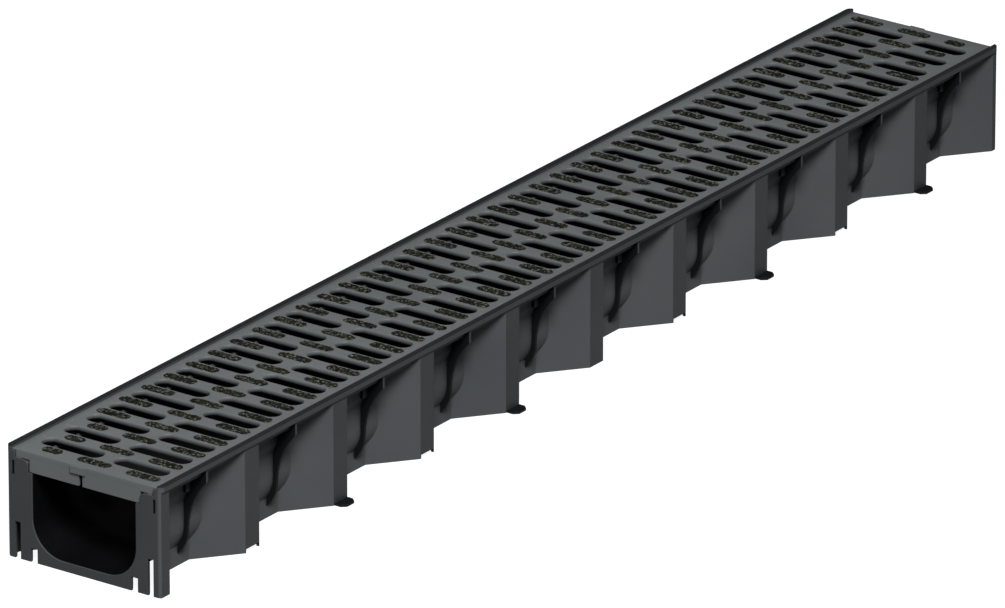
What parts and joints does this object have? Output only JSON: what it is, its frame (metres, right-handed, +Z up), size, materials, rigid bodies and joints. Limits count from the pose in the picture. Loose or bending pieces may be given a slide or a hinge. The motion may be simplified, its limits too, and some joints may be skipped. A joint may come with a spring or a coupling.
{
  "type": "drainage channel",
  "caption": "Straight plastic surface-drainage channel with zigzag side walls, a rounded trough open at both ends and a slotted lift-out grating with rough grip pads.",
  "frame": {"origin": "middle of the base, on the ground", "axes": "+X along the channel, from the end wall with the joint slots to the plain end; +Y across; +Z up"},
  "size_m": [1, 0.144, 0.08],
  "materials": {
    "channel_plastic": "matte charcoal moulding",
    "grating_plastic": "satin grey moulding with rough dark grip pads"
  },
  "bodies": {
    "root": {"channel_body": "channel_plastic", "grating": "grating_plastic"}
  },
  "joints": []
}
